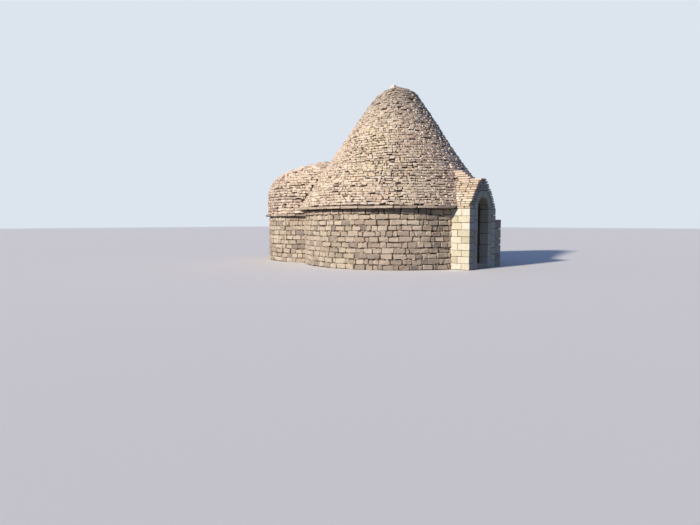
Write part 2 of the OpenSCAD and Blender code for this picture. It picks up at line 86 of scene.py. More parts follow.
def coneRadius(z):
    share = (z - coneFoot) / (coneTop - coneFoot)
    straight = cone["baseRadius"] + (cone["topRadius"] - cone["baseRadius"]) * share
    return straight + 4 * cone["bow"] * share * (1 - share)


def domeRadius(z):
    share = min(1, max(0, (z - domeFoot) / (domeTop - domeFoot)))
    return dome["baseRadius"] * (1 - share ** dome["bulge"])


def gableHalf(z):
    share = min(1, max(0, (z - porchEaves) / gable["height"]))
    return porchHalf * (1 - share ** gable["bulge"])


# Tests of whether a place is covered by another part of the house, by more than a margin
def insideRound(x, y, centre, radius):
    return math.hypot(x - centre.x, y - centre.y) < radius


def insideDome(x, y, z, margin):
    return z < domeTop and insideRound(x, y, alcoveCentre, domeRadius(z) - margin)


def insidePorch(x, y, z, margin):
    return y < 0 and z < gableTop and abs(x - porchX) < gableHalf(z) - margin


def behindPorch(x, y, margin):
    return y < 0 and abs(x - porchX) < porchHalf - margin


# The y of the front of a round part of the house, at one x
def frontOf(radius, x):
    return -math.sqrt(radius ** 2 - x ** 2)


# Colours are written as sRGB hex and turned to linear once
def linear(hexColour):
    values = [int(hexColour[i:i + 2], 16) / 255 for i in (1, 3, 5)]
    return [v / 12.92 if v <= 0.04045 else ((v + 0.055) / 1.055) ** 2.4 for v in values] + [1]


# The scale of a pattern whose cells measure so many millimetres
def scaleFor(millimetres):
    return 1000 / millimetres


# Links a node's inputs, each to a socket or to the first output that another node has in use
def linkNode(tree, node, links):
    inputs = {socket.identifier: socket for socket in node.inputs}
    for name, source in links.items():
        if isinstance(source, bpy.types.Node):
            source = next(socket for socket in source.outputs if socket.enabled)
        tree.links.new(source, inputs[name])


# Adds a node of a kind with its links. A setting is a ramp's stops, the value of an input or a property
def addNode(tree, kind, settings=None, links=None):
    node = tree.nodes.new("ShaderNode" + kind)
    inputs = {socket.identifier: socket for socket in node.inputs}
    for name, value in (settings or {}).items():
        if name == "stops":
            elements = node.color_ramp.elements
            while len(elements) < len(value):
                elements.new(0.5)
            for element, (position, colour) in zip(elements, value):
                element.position = position
                element.color = linear(colour)
        elif name in inputs:
            inputs[name].default_value = value
        else:
            setattr(node, name, value)
    linkNode(tree, node, links or {})
    return node


# A new material with its node tree, its shader and the Object coordinates that patterns read
def newMaterial(name, roughness, metallic=0.0):
    material = bpy.data.materials.new(name)
    material.use_nodes = True
    tree = material.node_tree
    shader = tree.nodes["Principled BSDF"]
    shader.inputs["Roughness"].default_value = roughness
    shader.inputs["Metallic"].default_value = metallic
    place = addNode(tree, "TexCoord").outputs["Object"]
    return material, tree, shader, place


def finishMaterial(tree, shader, colour, height, bump):
    relief = addNode(tree, "Bump", bump, {"Height": height})
    linkNode(tree, shader, {"Normal": relief, "Base Color": colour})


# The colour with a pattern's shades laid over it, which darken it in places
def shadeOver(tree, colour, pattern, stops, share):
    shade = addNode(tree, "ValToRGB", {"stops": stops}, {"Fac": pattern})
    settings = {"data_type": "RGBA", "blend_type": "MULTIPLY", "Factor_Float": share}
    return addNode(tree, "Mix", settings, {"A_Color": colour, "B_Color": shade})


# The colour with a stain over it, which grows to its share as the source passes from low to high
def stainOver(tree, colour, source, span, share, stain):
    limits = {"From Min": span[0], "From Max": span[1], "To Max": share}
    mask = addNode(tree, "MapRange", limits, {"Value": source})
    settings = {"data_type": "RGBA", "B_Color": linear(stain)}
    return addNode(tree, "Mix", settings, {"Factor_Float": mask, "A_Color": colour})


# The real stone's grain and pits are finer, and are drawn as coarse as they need to show
limestone = {
    "roughness": 0.92,
    "grain": {"Scale": scaleFor(38.46), "Detail": 8, "Roughness": 0.65},
    "speckles": [(0.3, "#D2CBC4"), (0.6, "#FFFFFF")],
    "pits": {"Scale": scaleFor(13.33), "Detail": 4, "Roughness": 0.8},
    "patches": {"Scale": scaleFor(1250), "Detail": 4, "Roughness": 0.6},
    "patchShades": [(0.3, "#F0E6E0"), (0.5, "#FFF8F0"), (0.7, "#FFFDEC")],
    "shadeShare": 0.7,
    "lichen": {"Scale": scaleFor(142.9), "Detail": 8, "Roughness": 0.7},
    "lichenSpan": (0.56, 0.68), "lichenColour": "#77726A",
    "crust": {"Scale": scaleFor(76.92), "Detail": 6, "Roughness": 0.7},
    "crustSpan": (0.58, 0.68), "crustColour": "#EDE6D6",
    "topShare": 0.55, "topColour": "#9A9288",
    "bump": {"Strength": 0.45, "Distance": 0.012},
}


# Limestone laid dry: each stone has its own shade, with weathered patches, grey lichen and pale crust
def limestoneMaterial(name, shades, lichen, crust, greyFrom=None):
    material, tree, shader, place = newMaterial(name, limestone["roughness"])
    tone = addNode(tree, "Attribute", {"attribute_name": "tone"}).outputs["Fac"]
    noises = {kind: addNode(tree, "TexNoise", limestone[kind], {"Vector": place})
              for kind in ("grain", "pits", "patches", "lichen", "crust")}
    colour = addNode(tree, "ValToRGB", {"stops": shades}, {"Fac": tone})
    colour = shadeOver(tree, colour, noises["patches"], limestone["patchShades"], limestone["shadeShare"])
    colour = shadeOver(tree, colour, noises["grain"], limestone["speckles"], limestone["shadeShare"])
    if greyFrom:
        height = addNode(tree, "SeparateXYZ", links={"Vector": place}).outputs["Z"]
        span = (greyFrom, coneTop)
        colour = stainOver(tree, colour, height, span, limestone["topShare"], limestone["topColour"])
    for kind, share in (("lichen", lichen), ("crust", crust)):
        colour = stainOver(tree, colour, noises[kind], limestone[kind + "Span"], share,
                           limestone[kind + "Colour"])
    links = {"Value": noises["grain"], "Value_001": noises["pits"]}
    relief = addNode(tree, "Math", {"operation": "ADD"}, links)
    finishMaterial(tree, shader, colour, relief, limestone["bump"])
    return material


# Stones of a width, depth and height in millimetres, and a joint as a share of them
rubble = {
    "roughness": 0.95, "stone": (278, 278, 117.6), "flagstone": (454.5, 454.5, 2500),
    "joint": 0.05, "jointColour": "#4F463C",
    "grain": {"Scale": scaleFor(38.46), "Detail": 6, "Roughness": 0.6},
    "speckles": [(0.3, "#BDB3A6"), (0.65, "#FFFFFF")], "speckleShare": 0.8,
    "bump": {"Strength": 0.6, "Distance": 0.015},
}


# Rough stones on a plain solid, out of the light: uneven cells parted by dark joints
def rubbleMaterial(name, shades, stone=rubble["stone"]):
    material, tree, shader, place = newMaterial(name, rubble["roughness"])
    scale = [scaleFor(side) for side in stone]
    stretched = addNode(tree, "Mapping", {"Scale": scale}, {"Vector": place})
    stones = addNode(tree, "TexVoronoi", {"Scale": 1.0}, {"Vector": stretched})
    shade = addNode(tree, "SeparateColor", links={"Color": stones.outputs["Color"]})
    colour = addNode(tree, "ValToRGB", {"stops": shades}, {"Fac": shade})
    settings = {"feature": "DISTANCE_TO_EDGE", "Scale": 1.0}
    edges = addNode(tree, "TexVoronoi", settings, {"Vector": stretched})
    limits = {"From Min": 0, "From Max": rubble["joint"]}
    joints = addNode(tree, "MapRange", limits, {"Value": edges})
    settings = {"data_type": "RGBA", "A_Color": linear(rubble["jointColour"])}
    colour = addNode(tree, "Mix", settings, {"Factor_Float": joints, "B_Color": colour})
    grain = addNode(tree, "TexNoise", rubble["grain"], {"Vector": place})
    colour = shadeOver(tree, colour, grain, rubble["speckles"], rubble["speckleShare"])
    finishMaterial(tree, shader, colour, joints, rubble["bump"])
    return material


# Stones of the vaults and their joints in millimetres, and other lengths in metres. Girth is the radius at
# which a stone's length is true
courses = {
    "girth": 2.1, "row": 150, "long": 310, "joint": 11, "softness": 0.4, "lift": 0.02,
    "wavering": {"Scale": scaleFor(200), "Detail": 3, "Roughness": 0.6}, "wavers": (0.3, 0.7), "waver": 0.05,
    "shades": ("#9B907F", "#CDC1AA"), "jointColour": "#4A4138",
}


# Rough courses of stones round a vertical axis, level with the vault's steps
def coursedMaterial(name, centre, foot):
    material, tree, shader, place = newMaterial(name, rubble["roughness"])
    shift = (-centre.x, -centre.y, courses["lift"] - foot)
    moved = addNode(tree, "Mapping", {"Location": shift}, {"Vector": place})
    parts = addNode(tree, "SeparateXYZ", links={"Vector": moved}).outputs
    links = {"Value": parts["Y"], "Value_001": parts["X"]}
    turn = addNode(tree, "Math", {"operation": "ARCTAN2"}, links)
    settings = {"operation": "MULTIPLY", "Value_001": courses["girth"]}
    along = addNode(tree, "Math", settings, {"Value": turn})
    wavering = addNode(tree, "TexNoise", courses["wavering"], {"Vector": place})
    limits = {"From Min": courses["wavers"][0], "From Max": courses["wavers"][1], "To Max": courses["waver"]}
    waver = addNode(tree, "MapRange", limits, {"Value": wavering})
    links = {"Value": parts["Z"], "Value_001": waver}
    height = addNode(tree, "Math", {"operation": "ADD"}, links)
    laid = addNode(tree, "CombineXYZ", links={"X": along, "Y": height})
    settings = {
        "Color1": linear(courses["shades"][0]), "Color2": linear(courses["shades"][1]),
        "Mortar": linear(courses["jointColour"]), "Mortar Size": courses["joint"] / 1000,
        "Mortar Smooth": courses["softness"], "Brick Width": courses["long"] / 1000,
        "Row Height": courses["row"] / 1000, "Scale": 1.0,
    }
    stones = addNode(tree, "TexBrick", settings, {"Vector": laid})
    grain = addNode(tree, "TexNoise", rubble["grain"], {"Vector": place})
    colour = shadeOver(tree, stones, grain, rubble["speckles"], rubble["speckleShare"])
    links = {"Value": stones.outputs["Fac"]}
    faces = addNode(tree, "MapRange", {"From Min": 1, "From Max": 0}, links)
    finishMaterial(tree, shader, colour, faces, rubble["bump"])
    return material


# Earth and small stones packed behind the facing: a dull brown, kept dark as painted shade for the deep
# joints, which are the only place it shows
earthAndJointShade = {
    "roughness": 1.0, "metallic": 0.0,
    "patches": {"Scale": scaleFor(45.5), "Detail": 5, "Roughness": 0.6},
    "shades": [(0.35, "#453D36"), (0.65, "#6A5E53")],
    "relief": {"Scale": scaleFor(25), "Detail": 4, "Roughness": 0.6},
    "bump": {"Strength": 0.5, "Distance": 0.01},
}
# Forged iron with a dull brown rust skin over dark metal
wroughtIron = {
    "roughness": 0.7, "metallic": 0.55,
    "patches": {"Scale": scaleFor(22.2), "Detail": 6, "Roughness": 0.6},
    "shades": [(0.35, "#2C2724"), (0.55, "#4A3629"), (0.75, "#6E4527")],
    "relief": {"Scale": scaleFor(22.2), "Detail": 6, "Roughness": 0.6},
    "bump": {"Strength": 0.5, "Distance": 0.002},
}


# A material in patches of its shades, with a relief
def patchedMaterial(name, look):
    material, tree, shader, place = newMaterial(name, look["roughness"], look["metallic"])
    patches = addNode(tree, "TexNoise", look["patches"], {"Vector": place})
    colour = addNode(tree, "ValToRGB", {"stops": look["shades"]}, {"Fac": patches})
    relief = addNode(tree, "TexNoise", look["relief"], {"Vector": place})
    finishMaterial(tree, shader, colour, relief, look["bump"])
    return material


# The real grain is a few millimetres wide, and is drawn about ten times as coarse as that to show
oak = {
    "roughness": 0.82, "across": 29.4, "along": 625,
    "grain": {"Scale": 1.0, "Detail": 7, "Roughness": 0.7},
    "shades": [(0.3, "#3B3027"), (0.5, "#6B594A"), (0.72, "#8A7A69")],
    "boardShare": 0.45, "boardColour": "#5A4637",
    "stains": {"Scale": scaleFor(285.7), "Detail": 4, "Roughness": 0.6},
    "stainSpan": (0.5, 0.7), "stainShare": 0.5, "stainColour": "#7E776D",
    "bump": {"Strength": 0.6, "Distance": 0.003},
}


# Sawn oak left bare to the weather: grey-brown with a raised grain, and stained in patches
def oakMaterial(name, grainAxis):
    material, tree, shader, place = newMaterial(name, oak["roughness"])
    tone = addNode(tree, "Attribute", {"attribute_name": "tone"}).outputs["Fac"]
    scale = [scaleFor(oak["along"] if axis == grainAxis else oak["across"]) for axis in "xyz"]
    stretched = addNode(tree, "Mapping", {"Scale": scale}, {"Vector": place})
    grain = addNode(tree, "TexNoise", oak["grain"], {"Vector": stretched})
    stains = addNode(tree, "TexNoise", oak["stains"], {"Vector": place})
    colour = addNode(tree, "ValToRGB", {"stops": oak["shades"]}, {"Fac": grain})
    colour = stainOver(tree, colour, tone, (0, 1), oak["boardShare"], oak["boardColour"])
    colour = stainOver(tree, colour, stains, oak["stainSpan"], oak["stainShare"], oak["stainColour"])
    finishMaterial(tree, shader, colour, grain, oak["bump"])
    return material


# Thin split slabs bleached by the sun: warm and pale, each a shade apart, and greyer up the roof
roofStone = limestoneMaterial(
    "limestoneRoofSlabs",
    [(0.0, "#CDBFAF"), (0.2, "#EADBC7"), (0.55, "#F8EAD6"), (0.85, "#FDF5E8"), (1.0, "#E6D5C0")],
    lichen=0.25, crust=0.45, greyFrom=4.6)
# The alcove's slabs: as warm, a little darker and more mixed
domeStone = limestoneMaterial(
    "limestoneDomeSlabs",
    [(0.0, "#C4B5A8"), (0.25, "#E9D8C6"), (0.6, "#F8E9D7"), (0.88, "#FCF3E6"), (1.0, "#E0CEBC")],
    lichen=0.25, crust=0.4)
# Field stones roughly squared with a hammer: grey-brown, with the most lichen
wallStone = limestoneMaterial(
    "limestoneWallBlocks",
    [(0.0, "#A89D92"), (0.35, "#D0C2AF"), (0.7, "#E4D8C5"), (1.0, "#BFAD9C")],
    lichen=0.45, crust=0.35)
# Blocks cut with a chisel: clean, cream and nearly even
porchStone = limestoneMaterial(
    "dressedPorchStone", [(0.0, "#E2DCBF"), (0.5, "#F3EFD3"), (1.0, "#FBF9E6")], lichen=0.16, crust=0.3)
# Split slabs over the porch, between the roof's colour and the cut blocks'
porchRoofStone = limestoneMaterial(
    "porchRoofSlabs",
    [(0.0, "#DACAB2"), (0.35, "#F2E4CC"), (0.7, "#FCF3DF"), (1.0, "#E6D6BE")],
    lichen=0.2, crust=0.4)
# Stone under worn limewash, the palest thing on the house
whiteStone = limestoneMaterial(
    "whitewashedStone", [(0.0, "#EEEAE0"), (1.0, "#F6F3EC")], lichen=0.15, crust=0.2)
# One slab trodden smooth, and greyer than the jambs beside it
stepStone = limestoneMaterial(
    "wornThresholdStone", [(0.0, "#D3C8B4"), (1.0, "#DDD3C0")], lichen=0.3, crust=0.25)
# Undressed stones inside the house, duller for want of sun
vaultStone = rubbleMaterial("vaultLimestone", [(0.0, "#9B907F"), (0.5, "#B9AC96"), (1.0, "#CDC1AA")])
roomStone = coursedMaterial("roomCourses", houseCentre, wallTop)
alcoveStone = coursedMaterial("alcoveCourses", alcoveCentre, alcoveWallHigh.z)
# Large uneven flagstones
floorStone = rubbleMaterial(
    "floorFlagstones", [(0.0, "#A39884"), (0.5, "#B8AC97"), (1.0, "#C6BBA6")], rubble["flagstone"])
# The packing's dark brown is partly the earth's own colour and partly painted shade in the joints
packingAndJointShade = patchedMaterial("packedEarthAndJointShade", earthAndJointShade)
doorOak = oakMaterial("greyOakUpright", "z")
ledgeOak = oakMaterial("greyOakAcross", "x")
iron = patchedMaterial("forgedIron", wroughtIron)
print("materials made")

# Vertices of a CAD mesh that lie closer than this are one
weldDistance = 0.00001


def addObject(name, data):
    added = bpy.data.objects.new(name, data)
    bpy.context.scene.collection.objects.link(added)
    return added


# Turns a bmesh into a mesh, and frees it
def meshFrom(name, bm):
    mesh = bpy.data.meshes.new(name)
    bm.to_mesh(mesh)
    bm.free()
    return mesh


# Moves every vertex of a small mesh by up to the given distance each way
def roughen(rng, bm, amount):
    for vert in bm.verts:
        vert.co += Vector([rng.uniform(-amount, amount) for _ in range(3)])


# Cuts away the part of a closed mesh in front of a plane and closes it again
def cutAway(bm, place, outward):
    cut = bmesh.ops.bisect_plane(bm, geom=bm.verts[:] + bm.edges[:] + bm.faces[:], plane_co=place,
                                 plane_no=outward, clear_outer=True)
    rim = [item for item in cut["geom_cut"] if isinstance(item, bmesh.types.BMEdge)]
    if rim:
        bmesh.ops.holes_fill(bm, edges=rim)


# Wears the given edges of a mesh down to small flats
def wearEdges(bm, edges, amount):
    bmesh.ops.bevel(bm, geom=edges, offset=amount, segments=1, profile=0.5, affect="EDGES", material=-1)


# Sets a mesh's middle at the origin and its size to 1 along each axis
def fitToCube(bm):
    for axis in range(3):
        places = [vert.co[axis] for vert in bm.verts]
        middle = Vector([0, 0, 0])
        middle[axis] = -(max(places) + min(places)) / 2
        bmesh.ops.translate(bm, vec=middle, verts=bm.verts)
        fit = Vector([1, 1, 1])
        fit[axis] = 1 / (max(places) - min(places))
        bmesh.ops.scale(bm, vec=fit, verts=bm.verts)


# Stones are shaped at these sizes in metres and later stretched to fit their places. Ends are the shares of a
# slab's sides that its cut corners take
slabForm = {"size": (0.16, 0.25, 0.08), "skew": 0.012, "ends": (0.05, 0.25), "chips": 2, "wear": 0.013,
            "seeds": (100, 116)}
blockForm = {"size": (0.30, 0.24, 0.16), "skew": 0.017, "chips": 3, "wear": 0.014, "seeds": (200, 212)}
dressedForm = {"size": (0.34, 0.34, 0.22), "skew": 0.003, "chips": 0, "wear": 0.008, "seeds": (300, 306)}
flatForm = {"size": (0.45, 0.45, 0.09), "skew": 0.012, "chips": 2, "wear": 0.010, "seeds": (400, 408)}
stoneWear = {"cornerDepth": 0.22, "levelWithin": 0.3, "chipSlant": (0.3, 1.0), "chipPlace": (0.78, 0.9),
             "unevenness": 0.4}


# A stone with knocked-off corners, worn edges and uneven faces that look outward, fitted to a cube of side 1
def makeStone(seed, form):
    rng = random.Random(seed)
    size = Vector(form["size"])
    bm = startPiece()
    bmesh.ops.create_cube(bm, size=1)
    bmesh.ops.scale(bm, vec=size, verts=bm.verts)
    roughen(rng, bm, form["skew"])
    if "ends" in form:
        for x, y in ((-1, -1), (-1, 1), (1, -1), (1, 1)):
            along = size.x * rng.uniform(*form["ends"])
            deep = size.y * rng.uniform(*form["ends"]) * stoneWear["cornerDepth"]
            slant = Vector((x / along, y / deep, 0))
            cutAway(bm, (x * (size.x / 2 - along), y * size.y / 2, 0), slant.normalized())
    for _ in range(form["chips"]):
        corner = Vector([rng.choice((-0.5, 0.5)) * side for side in size])
        slant = Vector([rng.uniform(*stoneWear["chipSlant"]) * 2 * place / side ** 2
                        for place, side in zip(corner, size)])
        cutAway(bm, corner * rng.uniform(*stoneWear["chipPlace"]), slant.normalized())
    worn = bm.edges[:]
    if "ends" in form:
        level = size.z * stoneWear["levelWithin"]
        worn = [edge for edge in worn if abs(edge.verts[0].co.z - edge.verts[1].co.z) < level]
    wearEdges(bm, worn, form["wear"])
    roughen(rng, bm, form["wear"] * stoneWear["unevenness"])
    fitToCube(bm)
    bmesh.ops.recalc_face_normals(bm, faces=bm.faces)
    if bm.calc_volume(signed=True) < 0:
        bmesh.ops.reverse_faces(bm, faces=bm.faces)
    return meshFrom("stone", bm)


# An empty mesh whose vertices carry the shade of their stone or board
def startPiece():
    bm = bmesh.new()
    bm.verts.layers.float.new("tone")
    return bm


slabs, blocks, dressed, flats = [[makeStone(seed, form) for seed in range(*form["seeds"])]
                                 for form in (slabForm, blockForm, dressedForm, flatForm)]
print("stones shaped")


# Adds one stone of a kind to a piece, with a shade of its own, and sometimes turned end for end
def addStone(bm, rng, kind, place, size):
    stone = rng.choice(kind).copy()
    flip = Matrix.Rotation(rng.choice((0, math.pi)), 4, "Z")
    stone.transform(place @ Matrix.Diagonal((*size, 1)) @ flip)
    stone.attributes["tone"].data.foreach_set("value", [rng.random()] * len(stone.vertices))
    bm.from_mesh(stone)
    bpy.data.meshes.remove(stone)


# Adds a finished part to a larger piece
def mergeInto(bm, part):
    mesh = meshFrom("part", part)
    bm.from_mesh(mesh)
    bpy.data.meshes.remove(mesh)


# Widths of the joints round a cut block and of the bed under it
cutJoints = {"joint": 0.006, "bed": 0.003}


# A stone that fills the box between two corners, less the joint
def addBlock(bm, rng, kind, low, high, joint=cutJoints["joint"]):
    size = Vector(high) - Vector(low) - Vector((joint, joint, joint))
    addStone(bm, rng, kind, Matrix.Translation((Vector(low) + Vector(high)) / 2), size)


# Lengths that differ from stone to stone and together make up the row
def splitRow(rng, total, mean, spread):
    shares = [rng.uniform(1 - spread, 1 + spread) for _ in range(max(1, round(total / mean)))]
    unit = total / sum(shares)
    start = 0
    for share in shares:
        yield start, share * unit
        start += share * unit


# Where a course has a wave, it rises and falls this often in a turn, shifted by so many radians a metre up
bedWave = {"perTurn": 3, "perMetre": 2.1}


# One round course of stones, left out where skip says that another part covers it
def layRing(bm, rng, kind, settings, centre, radius, low, height, skip):
    course = startPiece()
    turn = rng.uniform(0, math.tau)
    for start, length in splitRow(rng, math.tau * radius, settings["length"], settings["spread"]):
        angle = turn + (start + length / 2) / radius
        outward = Vector((math.cos(angle), math.sin(angle), 0))
        face = centre + outward * radius
        if skip(face.x, face.y, low + height / 2) or rng.random() < settings.get("missing", 0):
            continue
        thick = height * rng.uniform(*settings["thick"])
        depth = settings["depth"]
        back = depth / 2 + rng.uniform(*settings["set"])
        wave = settings.get("wave", 0) * math.sin(bedWave["perTurn"] * angle + bedWave["perMetre"] * low)
        middle = centre + outward * (radius - back) + Vector((0, 0, low + thick / 2 + settings["bed"] + wave))
        place = (Matrix.Translation(middle)
                 @ Matrix.Rotation(angle - math.pi / 2 + rng.gauss(0, settings["yaw"]), 4, "Z")
                 @ Matrix.Rotation(rng.gauss(-settings["fall"], settings["sway"]), 4, "X")
                 @ Matrix.Rotation(rng.gauss(0, settings.get("roll", 0)), 4, "Y"))
        joint = rng.uniform(*settings["joint"])
        if rng.random() < settings.get("gaps", 0):
            joint += settings["gap"]
        addStone(course, rng, kind, place, (length - joint, depth, thick))
    mergeInto(bm, course)


# Turns a mesh into a piece that rides on its body and takes the place of the named nodes
def finishPiece(name, bm, material, body="house", nodes=()):
    mesh = meshFrom(name, bm)
    mesh.materials.append(material)
    piece = addObject(name, mesh)
    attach(piece, body)
    if nodes:
        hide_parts(*nodes)
    mesh.calc_loop_triangles()
    print(name, len(mesh.loop_triangles), "triangles")
    return piece


# How far the masses behind the facing lie under it, and the margins by which their outer faces are told apart
core = {
    "cone": 0.10, "dome": 0.10, "wall": 0.07, "porch": 0.06, "drop": 0.03, "least": 0.05,
    "shell": 0.16, "near": 0.01, "porchReach": 0.02, "overEaves": 0.05, "still": 0.001,
}


# Makes such a mass from CAD solids. Faces that stay where they are show inside the house and are innerStone,
# and those that reach through the wall are plain rubble
def makeCore(name, nodes, drawIn, innerStone=None):
    bm = bmesh.new()
    for node in nodes:
        bm.from_mesh(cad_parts[node].data)
    bmesh.ops.remove_doubles(bm, verts=bm.verts, dist=weldDistance)
    still = set()
    for vert in bm.verts:
        place = drawIn(vert.co)
        if (place - vert.co).length < core["still"]:
            still.add(vert)
        vert.co = place
    if innerStone:
        for face in bm.faces:
            count = sum(vert in still for vert in face.verts)
            face.material_index = 0 if count == 0 else 1 if count == len(face.verts) else 2
    # Faces drawn in under the facing take the packing, a dark brown that is partly painted shade in the
    # joints
    piece = finishPiece(name, bm, packingAndJointShade, nodes=nodes)
    if innerStone:
        piece.data.materials.append(innerStone)
        piece.data.materials.append(vaultStone)


# The worn top: its courses fall on the alcove's side, and less on the far side
lean = {"toward": (-0.574, 0.819), "depth": 1.2, "fall": 0.2, "farFall": 0.075, "farReach": 1.4, "power": 1.5}


def sunk(point):
    share = min(1, max(0, 1 - (coneTop - point.z) / lean["depth"]))
    side = (point.x * lean["toward"][0] + point.y * lean["toward"][1]) / cone["topRadius"]
    farSide = -lean["farReach"] * side
    fall = lean["fall"] * min(1, max(0, side)) + lean["farFall"] * min(1, max(0, farSide))
    return fall * share ** lean["power"]


# Draws a point in towards the axis of a round part, where it lies on that part's outer face
def drawRound(point, centre, radius, amount):
    away = Vector((point.x - centre.x, point.y - centre.y, 0))
    if away.length < radius - amount:
        return point
    return centre + away.normalized() * max(core["least"], radius - amount) + Vector((0, 0, point.z))


def drawCone(point):
    if point.z < coneFoot - core["near"]:
        return point
    moved = drawRound(point, houseCentre, coneRadius(point.z), core["cone"])
    return moved - Vector((0, 0, sunk(point)))


def drawDome(point):
    if insideDome(point.x, point.y, point.z + domeCourse, core["shell"]):
        return point
    moved = drawRound(point, alcoveCentre, domeRadius(point.z), core["dome"])
    return moved - Vector((0, 0, core["drop"]))


def drawWall(point):
    if insidePorch(point.x, point.y, point.z, -core["porchReach"]):
        return point
    return drawRound(point, houseCentre, wallRadius, core["wall"])


def drawAlcoveWall(point):
    return drawRound(point, alcoveCentre, alcoveWallRadius, core["wall"])


# Draws the porch's sides, front and top in, and leaves the doorway's faces where they are
def drawPorch(point):
    moved = point.copy()
    side = point.x - porchX
    if abs(side) > gableHalf(point.z) - core["shell"]:
        moved.x -= math.copysign(core["porch"], side)
    if point.y < porchFront + core["near"]:
        moved.y += core["porch"]
    if point.z > porchEaves + core["overEaves"]:
        moved.z -= core["drop"]
    return moved


# Draws the buttress's three free faces in
def drawButtress(point):
    moved = point.copy()
    if point.x > buttressHigh.x - core["near"]:
        moved.x -= core["porch"]
    if point.y < buttressLow.y + core["near"]:
        moved.y += core["porch"]
    if point.z > buttressHigh.z - core["near"]:
        moved.z -= core["porch"]
    return moved


makeCore("coneCore", ["cone_front_left", "cone_front_right", "cone_back_left", "cone_back_right",
                      "cone_middle", "cone_upper"], drawCone)
makeCore("alcoveDomeCore", ["alcove_dome"], drawDome)
makeCore("wallCore", ["wall_front_left", "wall_front_right", "wall_back_left", "wall_back_right"],
         drawWall, roomStone)
makeCore("alcoveWallCore", ["alcove_wall_left", "alcove_wall_back", "alcove_wall_right"],
         drawAlcoveWall, alcoveStone)
makeCore("porchCore", ["porch_pier_left", "porch_pier_right", "porch_gable",
                       "porch_roof_left", "porch_roof_right"], drawPorch, vaultStone)
makeCore("buttressCore", ["corner_buttress"], drawButtress)

# Lengths are in metres and angles in radians. Thick is a share of the course's height, and missing and gaps
# are shares of the slabs
coneSlabs = {
    "length": 0.135, "spread": 0.65, "thick": (0.80, 1.07), "depth": 0.25, "set": (-0.014, 0.016),
    "yaw": 0.04, "fall": 0.08, "sway": 0.06, "roll": 0.06, "joint": (-0.012, 0.006), "bed": 0.0,
    "missing": 0.003, "gaps": 0.14, "gap": 0.034, "wave": 0.022, "topMissing": 0.05, "topCourses": 10,
    "intoPorch": 0.14, "intoDome": 0.16,
}


# The cone's courses from one number to another, as one piece, with more slabs gone near the top
def layCone(name, firstCourse, lastCourse, nodes, seed):
    rng = random.Random(seed)
    worn = dict(coneSlabs, missing=coneSlabs["topMissing"])
    bm = startPiece()

    def covered(x, y, z):
        return insidePorch(x, y, z, coneSlabs["intoPorch"]) or insideDome(x, y, z, coneSlabs["intoDome"])

    for course in range(firstCourse, lastCourse):
        low = coneFoot + course * coneCourse
        settings = worn if course >= cone["courses"] - coneSlabs["topCourses"] else coneSlabs
        radius = coneRadius(low + coneCourse / 2)
        layRing(bm, rng, slabs, settings, houseCentre, radius, low, coneCourse, covered)
    for vert in bm.verts:
        vert.co.z -= sunk(vert.co)
    finishPiece(name, bm, roofStone, nodes=nodes)


layCone("coneSlabsFoot", 0, 10, ["cone_front_left"], seed=11)
layCone("coneSlabsLower", 10, 22, ["cone_front_right"], seed=12)
layCone("coneSlabsMiddle", 22, 34, ["cone_middle"], seed=13)
layCone("coneSlabsUpper", 34, 48, ["cone_upper"], seed=14)

# Crevice is the open gap to the cone, and a slab reaches in under the next course by the lap
domeSlabs = dict(coneSlabs, length=0.14, set=(-0.012, 0.018), wave=0.015, lap=0.12, faceHeight=0.3,
                 crevice=0.06, intoWall=0.12, closing=(0.52, 0.46, 0.05), seed=21)


# The dome's courses. Its flatter top has deeper slabs, which are longer too and lie more level
def layDome():
    rng = random.Random(domeSlabs["seed"])
    bm = startPiece()

    def covered(x, y, z):
        reach = coneRadius(z) + domeSlabs["crevice"] if z > coneFoot else wallRadius - domeSlabs["intoWall"]
        return insideRound(x, y, houseCentre, reach)

    for course in range(dome["courses"]):
        low = domeFoot + course * domeCourse
        radius = domeRadius(low + domeCourse * domeSlabs["faceHeight"])
        above = domeRadius(low + domeCourse * (1 + domeSlabs["faceHeight"]))
        depth = max(domeSlabs["depth"], radius - above + domeSlabs["lap"])
        share = domeSlabs["depth"] / depth
        settings = dict(domeSlabs, depth=depth, length=domeSlabs["length"] / share,
                        fall=domeSlabs["fall"] * share ** 2, sway=domeSlabs["sway"] * share ** 2)
        layRing(bm, rng, slabs, settings, alcoveCentre, radius, low, domeCourse, covered)
    top = Matrix.Translation(alcoveCentre + Vector((0, 0, domeTop - domeSlabs["closing"][2] / 2)))
    addStone(bm, rng, flats, top, domeSlabs["closing"])
    finishPiece("alcoveDomeSlabs", bm, domeStone, nodes=["alcove_dome"])


layDome()

eavesSlabs = {
    "length": 0.40, "spread": 0.5, "thick": (0.72, 0.96), "depth": 0.50, "set": (0.004, 0.05),
    "yaw": 0.05, "fall": 0.0, "sway": 0.006, "joint": (0.006, 0.02), "bed": 0.001,
    "intoDome": 0.3, "intoWall": 0.1, "seed": 31,
}


# Wide flat slabs that stand out over the walls, on the house and on the alcove
def layEaves():
    rng = random.Random(eavesSlabs["seed"])
    bm = startPiece()

    def covered(x, y, z):
        return behindPorch(x, y, 0) or insideDome(x, y, z, eavesSlabs["intoDome"])

    layRing(bm, rng, flats, eavesSlabs, houseCentre, eavesRadius, wallTop, coneFoot - wallTop, covered)
    finishPiece("eavesSlabs", bm, wallStone, nodes=["eaves_ring"])

    bm = startPiece()

    def inHouse(x, y, z):
        return insideRound(x, y, houseCentre, wallRadius - eavesSlabs["intoWall"])

    foot = alcoveLow.z
    layRing(bm, rng, flats, eavesSlabs, alcoveCentre, alcoveEavesRadius, foot, domeFoot - foot, inHouse)
    finishPiece("alcoveEavesSlabs", bm, wallStone, nodes=["alcove_eaves"])


layEaves()

